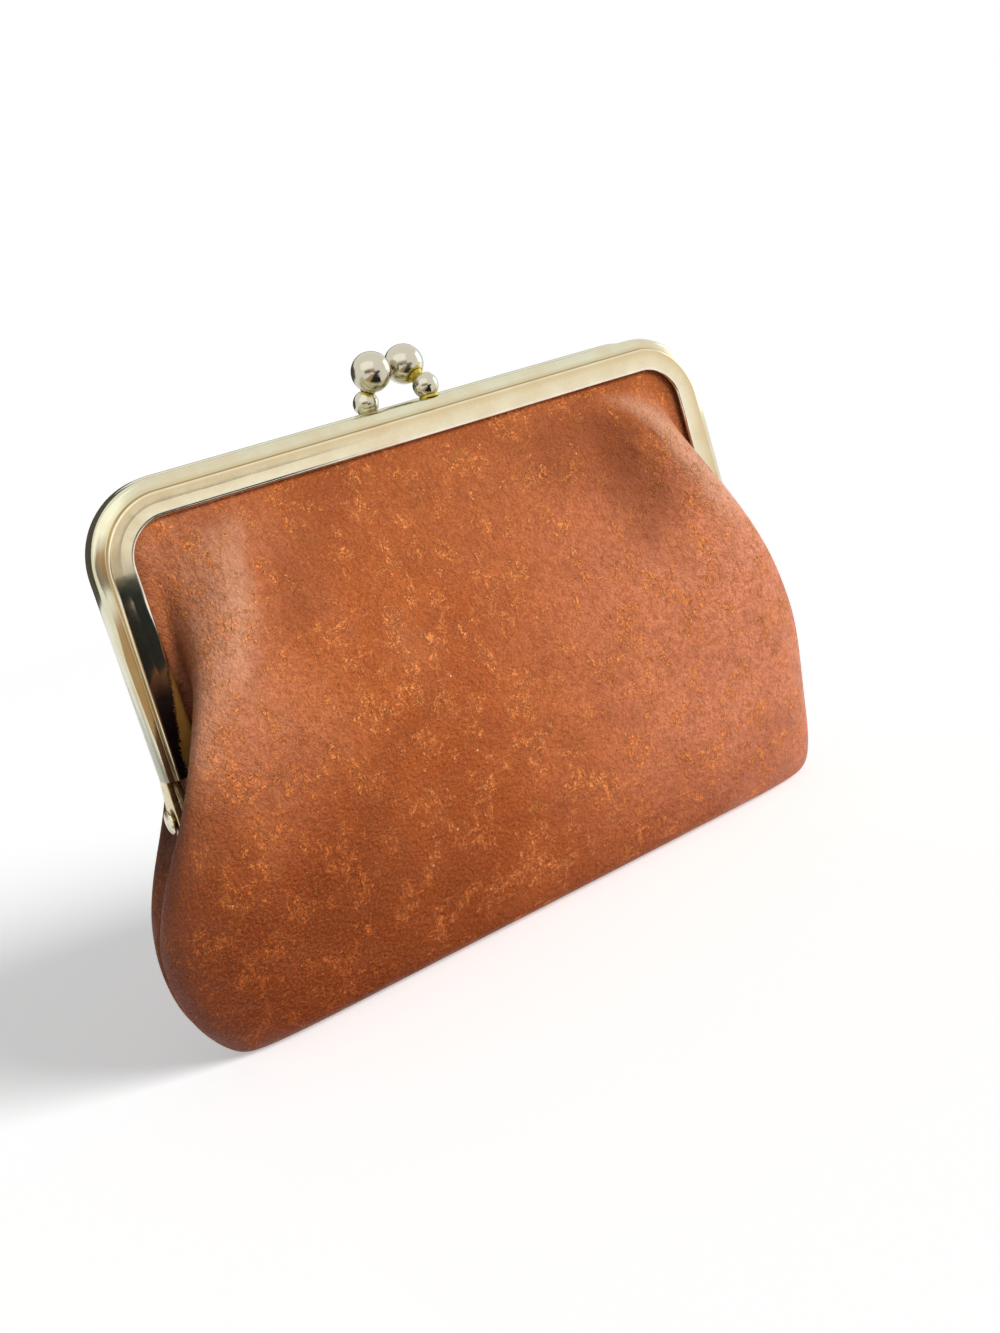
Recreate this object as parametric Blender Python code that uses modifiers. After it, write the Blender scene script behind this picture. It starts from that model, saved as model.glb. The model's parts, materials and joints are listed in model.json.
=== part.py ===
"""Kiss-lock coin purse.

A soft leather pouch with a thin lining hangs in a mouth frame of two U-shaped channels. The channels
turn on one rivet at the foot of each leg, and two ball knobs on the crest snap past each other.

Units are metres. +Z is up, the front faces -Y, and the origin is the middle of the underside.
"""
import math

import bmesh
import bpy
from mathutils import Matrix, Vector

# Driving sizes of the frame
frame_width = 0.095
frame_top = 0.0725
hinge_drop = 0.041
leg_clearance = 0.0054
corner_radius = 0.010
band_width = 0.00485
half_depth = 0.00485
sheet = 0.00045
back_narrowing = 0.0014

# Driving sizes of the pouch
pouch_half_width = 0.0544
pouch_half_depth = 0.0115
leather = 0.0011
lining = 0.0003
leather_tuck = 0.0017
lining_gap = 0.0004
slot_gap = 0.0004
flat_cut = 0.0005

# Driving sizes of the clasp
ball_radius = 0.00273
foot_radius = 0.00176
foot_offset = 0.00355
foot_depth = 0.0023
ball_offset = 0.0029
ball_cross = 0.0007
ball_rise = 0.00365

# Clearances and the reach that a cut has past the wall it goes through
fit_gap = 0.0003
closing_gap = 0.00015
overrun = 0.002
weld_distance = 0.00001
cut_tolerance = 0.000001

# Counts
corner_steps = 6
round_steps = 3
turn_steps = 24
pin_steps = 16
ball_rings = 12

# Places worked out from the driving sizes
hinge_height = frame_top - hinge_drop
leg_foot = hinge_height + leg_clearance
leg_centre = frame_width / 2 - corner_radius
corner_height = frame_top - corner_radius
lip_out = frame_width / 2 - band_width
lip_height = frame_top - band_width


def new_collection(name):
    collection = bpy.data.collections.new(name)
    bpy.context.scene.collection.children.link(collection)
    return collection


def new_material(name, colour, metallic, roughness):
    material = bpy.data.materials.new(name)
    material.use_nodes = True
    shader = material.node_tree.nodes["Principled BSDF"]
    shader.inputs["Base Color"].default_value = (*colour, 1)
    shader.inputs["Metallic"].default_value = metallic
    shader.inputs["Roughness"].default_value = roughness
    return material


def place(data, name, collection, material=None):
    placed = bpy.data.objects.new(name, data)
    collection.objects.link(placed)
    if material:
        data.materials.append(material)
    return placed


def as_tool(tool):
    """Mark an object that only cuts or joins another one."""
    tool.hide_render = True
    tool.display_type = "WIRE"
    return tool


def boolean(target, tool, operation):
    step = target.modifiers.new(f"{operation.lower()} {tool.name}", "BOOLEAN")
    step.operation = operation
    step.solver = "EXACT"
    step.object = tool


def mesh_from(shape, name):
    """Turn a bmesh into a mesh datablock and free it."""
    mesh = bpy.data.meshes.new(name)
    shape.to_mesh(mesh)
    shape.free()
    return mesh


def solid_from_curve(curve_object, material, collection):
    """Replace a curve object by the mesh it draws, with any open end closed by one face."""
    bpy.context.view_layer.update()
    name = curve_object.name
    graph = bpy.context.evaluated_depsgraph_get()
    mesh = bpy.data.meshes.new_from_object(curve_object.evaluated_get(graph))
    shape = bmesh.new()
    shape.from_mesh(mesh)
    bmesh.ops.remove_doubles(shape, verts=shape.verts, dist=weld_distance)
    bmesh.ops.holes_fill(shape, edges=shape.edges, sides=0)
    bmesh.ops.recalc_face_normals(shape, faces=shape.faces)
    shape.to_mesh(mesh)
    shape.free()
    matrix = curve_object.matrix_world.copy()
    bpy.data.objects.remove(curve_object)
    mesh.materials.clear()
    solid = place(mesh, name, collection, material)
    solid.matrix_world = matrix
    return solid


def arc(centre, radius, start, end, steps):
    """Points on an arc, both ends included. Angles are in quarter turns."""
    points = []
    for step in range(steps + 1):
        angle = (start + (end - start) * step / steps) * math.pi / 2
        points.append((centre[0] + radius * math.cos(angle), centre[1] + radius * math.sin(angle)))
    return points


# Frame channel. Its section runs inward from the crest and forward from the plane where the halves meet.
crest_radius = 0.0009
crest_depth = 0.0036
bead_radius = 0.0008
step_width = 0.0022
step_depth = 0.0041
ridge_width = 0.0003
lip_radius = 0.00055
mating_wall = 0.0042


def offset_chain(chain, distance):
    """Move an open chain of points to its right-hand side, with mitred corners."""
    moved = []
    for index, point in enumerate(chain):
        before = Vector(chain[max(index - 1, 0)])
        after = Vector(chain[min(index + 1, len(chain) - 1)])
        here = Vector(point)
        legs = [leg.normalized() for leg in (here - before, after - here) if leg.length > 0]
        normals = [Vector((leg.y, -leg.x)) for leg in legs]
        middle = sum(normals, Vector((0, 0))).normalized()
        moved.append(here + middle * distance / middle.dot(normals[0]))
    return moved


def channel_section():
    crest_centre = (crest_radius, closing_gap + crest_radius)
    bead_centre = (bead_radius, crest_depth - bead_radius)
    lip_centre = (band_width - lip_radius, half_depth - lip_radius)
    chain = [(mating_wall, closing_gap)]
    chain += arc(crest_centre, crest_radius, 3, 2, round_steps)
    chain += arc(bead_centre, bead_radius, 2, 1, round_steps)
    chain += [(step_width, step_depth), (step_width + ridge_width, half_depth)]
    chain += arc(lip_centre, lip_radius, 1, 0, round_steps)
    return chain + offset_chain(chain, sheet)[::-1]


def narrowing(side):
    """How much nearer the middle a half's legs stand. The back half is the narrower one."""
    return back_narrowing if side > 0 else 0


def frame_path(side, inset, foot):
    """Points of the U between its feet at a given height, inset from the half's outer edge."""
    centre = leg_centre - narrowing(side)
    radius = corner_radius - inset
    path = [(-centre - radius, foot)]
    path += arc((-centre, corner_height), radius, 2, 1, corner_steps)
    path += arc((centre, corner_height), radius, 1, 0, corner_steps)
    return path + [(centre + radius, foot)]


def flat_spline(curve, points, closed):
    spline = curve.splines.new("POLY")
    spline.points.add(len(points) - 1)
    for target, point in zip(spline.points, points):
        target.co = (point[0], point[1], 0, 1)
    spline.use_cyclic_u = closed


def channel(name, side, material, collection):
    """Sweep the channel's section along the U. Side is -1 for the front half and 1 for the back."""
    section = bpy.data.curves.new(f"{name}_section", "CURVE")
    section.dimensions = "2D"
    flat_spline(section, [(inward, -side * forward) for inward, forward in channel_section()], True)
    guide = as_tool(place(section, f"{name}_section", tools))
    path = bpy.data.curves.new(name, "CURVE")
    path.dimensions = "2D"
    path.bevel_mode = "OBJECT"
    path.bevel_object = guide
    flat_spline(path, frame_path(side, 0, leg_foot), False)
    swept = place(path, name, collection)
    swept.rotation_euler.x = math.pi / 2
    return solid_from_curve(swept, material, collection)


# Hinge ears and rivets. Each leg ends in a flat lug, and the front half's lugs lie outside the back's.
ear = 0.0009
ear_inset = 0.0001
ear_radius = 0.0021
ear_root_depth = 0.0008
ear_root_rise = 0.003
rivet_radius = 0.0009
rivet_head_radius = 0.0016
rivet_head = 0.0006


def ear_layer(side):
    """Distance of a lug's outer face from the middle of the purse."""
    return frame_width / 2 - narrowing(side) - ear_inset


def extruded(name, outline, thickness, collection):
    """A flat plate in the plane X = 0, drawn by an outline of (y, z) points."""
    curve = bpy.data.curves.new(name, "CURVE")
    curve.dimensions = "2D"
    curve.fill_mode = "BOTH"
    curve.extrude = thickness / 2
    flat_spline(curve, outline, True)
    plate = place(curve, name, collection)
    plate.matrix_world = Matrix(((0, 0, 1, 0), (1, 0, 0, 0), (0, 1, 0, 0), (0, 0, 0, 1)))
    return solid_from_curve(plate, None, collection)


def ear_root(side):
    """The lug's two edges inside the channel, near the closing plane and near the front wall."""
    return side * (closing_gap + sheet + ear_root_depth / 2), side * (step_depth - sheet - ear_root_depth)


def ear_outline(side):
    """A lug from inside the channel down to a round end on the hinge axis."""
    root_top = leg_foot + ear_root_rise
    back, front = ear_root(side)
    neck_back = (side * (closing_gap + sheet), leg_foot - fit_gap)
    tip = arc((0, hinge_height), ear_radius, 0, -2, turn_steps // 2)
    if side < 0:
        return [neck_back, (back, root_top), (front, root_top)] + tip[::-1]
    return [(back, root_top), neck_back] + tip[::-1] + [(front, root_top)]


def cylinder_tool(name, radius, length, centre, along, steps):
    shape = bmesh.new()
    bmesh.ops.create_cone(shape, cap_ends=True, segments=steps, radius1=radius, radius2=radius, depth=length)
    turn = Vector((0, 0, 1)).rotation_difference(along).to_matrix().to_4x4()
    bmesh.ops.transform(shape, matrix=Matrix.Translation(centre) @ turn, verts=shape.verts)
    return as_tool(place(mesh_from(shape, name), name, tools))


def add_ears(frame, name, side):
    """Join a lug to the inside of each leg's crest wall, and pierce both for the rivets."""
    for label, hand in (("left", -1), ("right", 1)):
        lug = extruded(f"{label}_{name}_lug", ear_outline(side), ear, tools)
        lug.location.x = hand * (ear_layer(side) - ear / 2)
        boolean(frame, as_tool(lug), "UNION")
    bore = cylinder_tool(f"{name}_rivet_bore", rivet_radius + fit_gap, frame_width + overrun,
                         (0, 0, hinge_height), Vector((1, 0, 0)), pin_steps)
    boolean(frame, bore, "DIFFERENCE")


def turned(name, profile, steps, material, collection):
    """Turn a profile of (radius, height) points, top to bottom, about the Z axis."""
    shape = bmesh.new()
    verts = [shape.verts.new((radius, 0, height)) for radius, height in profile]
    for first, second in zip(verts, verts[1:]):
        shape.edges.new((first, second))
    piece = place(mesh_from(shape, name), name, collection, material)
    screw = piece.modifiers.new("turn", "SCREW")
    screw.steps = steps
    screw.render_steps = steps
    screw.use_merge_vertices = True
    screw.merge_threshold = weld_distance
    return piece


def hinge_rivet(name, hand):
    """A rivet across both lugs, with a domed head at each end."""
    outer = ear_layer(-1) + fit_gap
    inner = ear_layer(1) - ear - fit_gap
    middle = (outer + inner) / 2
    half_pin = (outer - inner) / 2
    dome = arc((0, 0), 1, 1, 0, round_steps)
    top = [(rivet_head_radius * x, half_pin + rivet_head * y) for x, y in dome]
    profile = top + [(rivet_radius, half_pin), (rivet_radius, -half_pin)]
    profile += [(radius, -height) for radius, height in top[::-1]]
    rivet = turned(name, profile, pin_steps, metal, purse)
    rivet.rotation_euler.y = math.pi / 2
    rivet.location = (hand * middle, 0, hinge_height)
    return rivet


# Kiss lock. A post is riveted through the crest. Its foot ball carries a neck, and the large ball sits on it.
neck_radius = 0.00085
neck_insert = 0.0014
tail_radius = 0.0008
tail_length = 0.0022
foot_sink = 0.00006


def clasp_centres(side):
    """Centres of the foot ball and of the large ball of one half."""
    hand = -side
    foot = Vector((hand * foot_offset, side * foot_depth, frame_top + foot_radius - foot_sink))
    ball = Vector((hand * ball_offset, -side * ball_cross, foot.z + ball_rise))
    return foot, ball


def sphere(name, radius, centre, material, collection):
    shape = bmesh.new()
    bmesh.ops.create_uvsphere(shape, u_segments=turn_steps, v_segments=ball_rings, radius=radius)
    for face in shape.faces:
        face.smooth = True
    piece = place(mesh_from(shape, name), name, collection, material)
    piece.location = centre
    return piece


def clasp(name, side):
    foot, ball = clasp_centres(side)
    lean = (ball - foot).normalized()
    post = sphere(f"{name}_clasp_post", foot_radius, foot, polished, purse)
    neck_end = ball - lean * (ball_radius - neck_insert)
    neck = cylinder_tool(f"{name}_neck", neck_radius, (neck_end - foot).length, (foot + neck_end) / 2, lean, pin_steps)
    boolean(post, neck, "UNION")
    down = Vector((0, 0, -1))
    tail_centre = foot + down * (foot_radius + tail_length) / 2
    tail = cylinder_tool(f"{name}_tail", tail_radius, foot_radius + tail_length, tail_centre, down, pin_steps)
    boolean(post, tail, "UNION")
    knob = sphere(f"{name}_clasp_ball", ball_radius, ball, polished, purse)
    socket_length = neck_insert + fit_gap + overrun
    socket_centre = ball - lean * (ball_radius - neck_insert - fit_gap + socket_length / 2)
    socket = cylinder_tool(f"{name}_socket", neck_radius + fit_gap, socket_length, socket_centre, lean, pin_steps)
    boolean(knob, socket, "DIFFERENCE")
    return post, knob


def tail_bore(frame, name, side):
    """The hole in the crest for the post's tail."""
    foot, _ = clasp_centres(side)
    length = foot_radius + tail_length
    bore = cylinder_tool(f"{name}_tail_bore", tail_radius + fit_gap, length,
                         foot + Vector((0, 0, -length / 2)), Vector((0, 0, 1)), pin_steps)
    boolean(frame, bore, "DIFFERENCE")


# Pouch. The leather's middle surface is a cage of eleven columns: the left edge, root, tuck, fold and
# ridge, the centre, and the same five on the right. The edge sits in the frame's slot above the hinge
# and on the side and bottom seam below it. The root leaves the slot, the tuck is the valley beside the
# leg, and the fold is where the leather rolls out over the leg.
slot_depth = half_depth - lip_radius - slot_gap - leather / 2
edge_inset = band_width - leather_tuck
skin_half_width = pouch_half_width - leather / 2
skin_half_depth = pouch_half_depth - leather / 2
swell = skin_half_depth - slot_depth
seam_overrun = 0.0004
hinge_edge = ear_layer(1) - ear - fit_gap - rivet_head - fit_gap - leather / 2
hinge_seam_drop = 0.0042

# Rows in the slot: the edge's quarter turns round the corner, the row's height as a share of the tuck,
# and how far out its tuck, fold and ridge lie as shares of the lip.
slot_rows_shares = (
    (1.00, 1.00, (0.79, 0.67, 0.45)),
    (0.62, 0.35, (0.86, 0.73, 0.50)),
    (0.34, -0.45, (0.91, 0.80, 0.57)),
)

# Rows from the lip down to the hinge: height as a share of that way, then outward and forward shares
# of the tuck, the left fold, the right fold and the ridge, and the centre's forward share. Outward
# counts the lip as 1 and the pouch's side as 2. Forward counts the slot as 0 and the fullest swell as 1.
upper_rows_shares = (
    (0.870, (0.945, 0.02), (0.885, 0.16), (0.890, 0.16), (0.700, 0.29), 0.22),
    (0.700, (0.935, 0.06), (0.900, 0.38), (0.905, 0.38), (0.760, 0.62), 0.46),
    (0.505, (0.930, 0.16), (0.925, 0.67), (1.040, 0.66), (0.830, 0.88), 0.68),
    (0.320, (0.928, 0.26), (1.000, 0.76), (1.370, 0.74), (0.900, 1.00), 0.85),
    (0.110, (0.900, 0.34), (1.250, 0.64), (1.800, 0.57), (1.000, 1.03), 0.97),
)

# Rows from the hinge down to the floor: height as a share of that way, the outward shares of the left
# edge, tuck and fold, the same on the right, the forward shares of tuck and fold, the ridge, and the
# centre's forward share. Forward counts the closing plane as 0 and the fullest swell as 1. The first
# row has its own edge, which passes under the rivet. The last row is the front of the flat underside.
lower_rows_shares = (
    (0.8500, (1.00, 1.50, 1.74), (1.00, 1.54, 1.88), (0.30, 0.54), (1.20, 0.97), 1.00),
    (0.6600, (1.98, 1.95, 1.92), (2.00, 1.98, 1.83), (0.20, 0.45), (1.36, 0.84), 0.96),
    (0.4400, (2.04, 2.03, 1.93), (2.00, 1.90, 1.69), (0.16, 0.41), (1.36, 0.73), 0.86),
    (0.2200, (1.97, 1.95, 1.82), (1.88, 1.78, 1.57), (0.14, 0.36), (1.24, 0.57), 0.68),
    (0.0450, (1.64, 1.58, 1.42), (1.59, 1.51, 1.32), (0.13, 0.27), (1.00, 0.40), 0.43),
    (0.0032, (1.46, 1.36, 1.24), (1.36, 1.24, 1.10), (0.09, 0.16), (0.92, 0.19), 0.19),
)
sole_seam_out_shares = ((1.38, 1.30, 1.18, 0.90), (1.28, 1.18, 1.04, 0.88))
hinge_edge_out_share = 0.40
hinge_edge_forward_shares = (0.96, 0.46)
root_share = 0.50
lining_slack_share = 0.30


def outward(share, side):
    lip = lip_out - narrowing(side)
    return lip * share if share <= 1 else lip + (skin_half_width - lip) * (share - 1)


def with_root(edge, tuck, forward):
    """The edge and the root, which lies between edge and tuck at its own distance forward."""
    return [edge, (edge[0] + (tuck[0] - edge[0]) * root_share, forward, edge[2] + (tuck[2] - edge[2]) * root_share)]


def slot_row(side, turn, rise, out_shares):
    centre = (leg_centre - narrowing(side), corner_height)
    corner = arc(centre, corner_radius - edge_inset, turn, turn, 1)[0]
    edge = (corner[0], slot_depth, corner[1])
    height = lip_height + leather_tuck * rise
    half = [(outward(share, side), slot_depth, height) for share in out_shares]
    half = with_root(edge, half[0], slot_depth) + half
    return half, half, (0, slot_depth, height)


def upper_row(side, index):
    share, tuck, left_fold, right_fold, ridge, centre = upper_rows_shares[index]
    height = hinge_height + (lip_height - hinge_height) * share
    out = frame_width / 2 - narrowing(side) - edge_inset
    forward = slot_depth
    if index == len(upper_rows_shares) - 1:
        out = hinge_edge + (out - hinge_edge) * hinge_edge_out_share
        forward = slot_depth * hinge_edge_forward_shares[0]
    halves = []
    for fold in (left_fold, right_fold):
        points = [(outward(x, side), slot_depth + swell * y, height) for x, y in (tuck, fold, ridge)]
        halves.append(with_root((out, forward, height), points[0], forward) + points)
    return halves[0], halves[1], (0, slot_depth + swell * centre, height)


def lower_row(side, index):
    share, left_outs, right_outs, forwards, ridge, centre = lower_rows_shares[index]
    height = hinge_height * share
    halves = []
    for outs in (left_outs, right_outs):
        points = [(outward(x, side), skin_half_depth * y, height) for x, y in (*zip(outs[1:], forwards), ridge)]
        edge = (outward(outs[0], side), -seam_overrun, height)
        if index == 0:
            edge = (hinge_edge, slot_depth * hinge_edge_forward_shares[1], hinge_height - hinge_seam_drop)
        halves.append(with_root(edge, points[0], (edge[1] + points[0][1]) / 2) + points)
    return halves[0], halves[1], (0, skin_half_depth * centre, height)


def sole_seam_row(side):
    height = leather / 2 - flat_cut
    halves = []
    for outs in sole_seam_out_shares:
        points = [(outward(share, side), -seam_overrun, height) for share in outs]
        halves.append(with_root(points[0], points[1], -seam_overrun) + points[1:])
    return halves[0], halves[1], (0, -seam_overrun, height)


def relaxed(half, share):
    """Draw the fold back towards the middle of tuck and ridge, as the loose lining does."""
    edge, root, tuck, fold, ridge = (Vector(point) for point in half)
    return [edge, root, tuck, fold.lerp((tuck + ridge) / 2, share), ridge]


def pouch_rows(side, slack_share):
    rows = [slot_row(side, *shares) for shares in slot_rows_shares]
    rows += [upper_row(side, index) for index in range(len(upper_rows_shares))]
    rows += [lower_row(side, index) for index in range(len(lower_rows_shares))]
    rows += [sole_seam_row(side)]
    return [(relaxed(left, slack_share), relaxed(right, slack_share), centre) for left, right, centre in rows]


def trim(shape, point, normal):
    """Cut away what lies beyond a plane, on the side that its normal points to, and close the cut."""
    whole = shape.verts[:] + shape.edges[:] + shape.faces[:]
    bmesh.ops.bisect_plane(shape, geom=whole, dist=cut_tolerance, plane_co=point, plane_no=normal, clear_outer=True)
    bmesh.ops.holes_fill(shape, edges=shape.edges, sides=0)


def skin(name, side, depth, slack_share, thickness, material):
    """A sheet that follows the pouch's middle surface, set inward by a depth and given a thickness.

    Its side and bottom edges are trimmed at the closing plane, and its underside at the floor.
    """
    shape = bmesh.new()
    grid = []
    for left, right, centre in pouch_rows(side, slack_share):
        points = [(-x, side * y, z) for x, y, z in left] + [(centre[0], side * centre[1], centre[2])]
        points += [(x, side * y, z) for x, y, z in right[::-1]]
        grid.append([shape.verts.new(point) for point in points])
    for upper, lower in zip(grid, grid[1:]):
        for column in range(len(upper) - 1):
            corners = [upper[column], lower[column], lower[column + 1], upper[column + 1]]
            face = shape.faces.new(corners if side < 0 else corners[::-1])
            face.smooth = True
    piece = place(mesh_from(shape, name), name, purse, material)
    smooth = piece.modifiers.new("smooth", "SUBSURF")
    smooth.levels = 1
    smooth.render_levels = 1
    if depth:
        inset = piece.modifiers.new("inset", "DISPLACE")
        inset.strength = -depth
        inset.mid_level = 0
    wall = piece.modifiers.new("thickness", "SOLIDIFY")
    wall.thickness = thickness
    wall.offset = 0
    bpy.context.view_layer.update()
    evaluated = piece.evaluated_get(bpy.context.evaluated_depsgraph_get())
    shape = bmesh.new()
    shape.from_mesh(evaluated.to_mesh())
    trim(shape, (0, side * closing_gap, 0), (0, -side, 0))
    trim(shape, (0, 0, 0), (0, 0, -1))
    piece.modifiers.clear()
    shape.to_mesh(piece.data)
    shape.free()
    return piece


cord_foot_rise = 0.004


def filler_cord(name, side):
    """Paper cord that wedges the skins against the channel's front wall."""
    lining_face = slot_depth - leather / 2 - lining_gap - lining
    wall_face = closing_gap + sheet
    radius = (lining_face - wall_face) / 2 - fit_gap
    curve = bpy.data.curves.new(name, "CURVE")
    curve.dimensions = "3D"
    curve.bevel_depth = radius
    curve.bevel_resolution = 1
    curve.use_fill_caps = True
    spline = curve.splines.new("POLY")
    path = frame_path(side, edge_inset + radius, leg_foot + cord_foot_rise)
    spline.points.add(len(path) - 1)
    for target, (x, z) in zip(spline.points, path):
        target.co = (x, side * (lining_face + wall_face) / 2, z, 1)
    return solid_from_curve(place(curve, name, purse), paper, purse)


for stale in list(bpy.data.objects):
    bpy.data.objects.remove(stale)

purse = new_collection("kiss_lock_coin_purse")
tools = new_collection("cutters_and_guides")
metal = new_material("plated_frame_metal", (0.62, 0.56, 0.43), 1.0, 0.22)
polished = new_material("polished_knob_metal", (0.66, 0.62, 0.54), 1.0, 0.08)
hide = new_material("oiled_leather", (0.28, 0.09, 0.035), 0.0, 0.45)
cloth = new_material("lining_cloth", (0.19, 0.12, 0.07), 0.0, 0.8)
paper = new_material("twisted_paper", (0.55, 0.43, 0.27), 0.0, 0.9)

for title, direction in (("front", -1), ("back", 1)):
    half = channel(f"{title}_frame", direction, metal, purse)
    add_ears(half, title, direction)
    tail_bore(half, title, direction)
    knobs = clasp(title, direction)
    cord = filler_cord(f"{title}_filler_cord", direction)
    skin(f"{title}_panel", direction, 0, 0, leather, hide)
    skin(f"{title}_lining", direction, leather / 2 + lining_gap + lining / 2, lining_slack_share, lining, cloth)
    axis = place(None, f"{title}_hinge_axis", purse)
    axis.location.z = hinge_height
    bpy.context.view_layer.update()
    for piece in (half, cord, *knobs):
        piece.parent = axis
        piece.matrix_parent_inverse = axis.matrix_world.inverted()

hinge_rivet("left_hinge_rivet", -1)
hinge_rivet("right_hinge_rivet", 1)
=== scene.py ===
"""Looks of a kiss-lock coin purse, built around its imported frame. Metres, +Z up, the front faces -Y."""
import json
import math

import bmesh
import bpy
from mathutils import Matrix, Vector, noise


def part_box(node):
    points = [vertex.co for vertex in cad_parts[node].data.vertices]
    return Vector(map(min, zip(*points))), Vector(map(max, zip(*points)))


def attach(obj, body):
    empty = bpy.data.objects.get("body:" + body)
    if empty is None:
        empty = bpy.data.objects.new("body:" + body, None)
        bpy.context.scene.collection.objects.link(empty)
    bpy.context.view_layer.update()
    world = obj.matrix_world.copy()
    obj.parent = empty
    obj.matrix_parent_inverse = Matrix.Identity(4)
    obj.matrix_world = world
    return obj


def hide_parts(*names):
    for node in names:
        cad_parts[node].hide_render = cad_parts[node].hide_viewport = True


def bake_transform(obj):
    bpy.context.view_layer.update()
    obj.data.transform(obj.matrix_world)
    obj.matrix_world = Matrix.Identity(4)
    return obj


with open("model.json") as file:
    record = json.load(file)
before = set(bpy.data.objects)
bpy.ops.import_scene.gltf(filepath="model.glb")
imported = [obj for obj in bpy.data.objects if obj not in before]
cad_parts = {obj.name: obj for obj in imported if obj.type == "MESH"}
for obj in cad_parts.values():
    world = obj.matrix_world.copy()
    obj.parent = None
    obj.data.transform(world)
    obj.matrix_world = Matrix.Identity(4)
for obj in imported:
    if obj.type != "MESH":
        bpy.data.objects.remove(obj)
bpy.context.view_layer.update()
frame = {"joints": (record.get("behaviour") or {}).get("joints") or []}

# Camera. It stands 0.2 m from the purse's middle, to the left and a little above, and is rolled so that the
# purse leans in the picture.
camera_place = (-0.08999, -0.17072, 0.06674)
view_direction = Vector((0.4723, 0.8658, -0.1653)).normalized()
view_up = Vector((0.3320, -0.0011, 0.9433))
lens_mm = 37.816
near_limit = 0.01


def placed(name, data):
    """Put new data in the scene as an object."""
    made = bpy.data.objects.new(name, data)
    bpy.context.scene.collection.objects.link(made)
    return made


camera_data = bpy.data.cameras.new("camera")
camera_data.lens = lens_mm
camera_data.clip_start = near_limit
camera = placed("camera", camera_data)
view_right = view_direction.cross(view_up).normalized()
turn = Matrix((view_right, view_right.cross(view_direction), -view_direction)).transposed()
camera.matrix_world = Matrix.Translation(camera_place) @ turn.to_4x4()
bpy.context.scene.camera = camera

# Frame halves. Each is a strip of plated steel rolled to a channel, with a bead, a shallow groove, a flat
# face and a turned lip, and bent to a U. The two close face to face, and the leather is wedged inside.
mm = 0.001
hinge_height = frame["joints"][0]["pos_m"][2]
frame_low, frame_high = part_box("front_frame")
frame_half_width = frame_high.x
frame_top = frame_high.z
band_width = 4.85 * mm
half_depth = -frame_low.y
sheet = 0.45 * mm
closing_gap = 0.15 * mm
corner_radius = 10 * mm
leg_clearance = 5.4 * mm
back_narrowing = frame_half_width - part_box("back_frame")[1].x
leg_foot = hinge_height + leg_clearance
ridge_inset = 1.7 * mm
flat_middle = 3.6 * mm
bead_narrowing = 0.62 * mm
corner_steps = 20
fold_steps = 5
sides = {"front": -1, "back": 1}
white = "#FFFFFF"
black = "#000000"


def colour(code):
    """Turn an sRGB hex colour to the linear values that shaders take. Other values stay as they are."""
    if not isinstance(code, str) or not code.startswith("#"):
        return code
    parts = [int(code[start:start + 2], 16) / 255 for start in (1, 3, 5)]
    return (*(part / 12.92 if part <= 0.04045 else ((part + 0.055) / 1.055) ** 2.4 for part in parts), 1)


def feed(tree, node, sockets):
    """Give a node's sockets their values or links. They are named in a dict, or follow in order."""
    pairs = sockets.items() if isinstance(sockets, dict) else enumerate(sockets)
    for key, value in pairs:
        if isinstance(value, bpy.types.NodeSocket):
            tree.links.new(value, node.inputs[key])
        else:
            node.inputs[key].default_value = colour(value)


def add_node(tree, kind, sockets=(), stops=(), output=0, **settings):
    """Add a node with its settings, feed its sockets, and return one output, or all of them for None.

    Stops are the (place, colour) pairs of a colour ramp.
    """
    made = tree.nodes.new(kind)
    for name, value in settings.items():
        setattr(made, name, value)
    feed(tree, made, sockets)
    for index, (place, shade) in enumerate(stops):
        element = made.color_ramp.elements[index] if index < 2 else made.color_ramp.elements.new(1)
        element.position = place
        element.color = colour(shade)
    return made.outputs if output is None else made.outputs[output]


def new_material(name):
    """A new material, its node tree, and the shader in it."""
    material = bpy.data.materials.new(name)
    material.use_nodes = True
    return material, material.node_tree, material.node_tree.nodes["Principled BSDF"]


def painted(tree, shade, *coats):
    """Lay coats over a colour. Each is its mask, how strongly it covers there, and its own colour."""
    for mask, strength, coat in coats:
        if strength != 1:
            mask = add_node(tree, "ShaderNodeMath", (mask, strength), operation="MULTIPLY")
        shade = add_node(tree, "ShaderNodeMix", {0: mask, 6: shade, 7: coat}, data_type="RGBA", output=2)
    return shade


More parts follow.
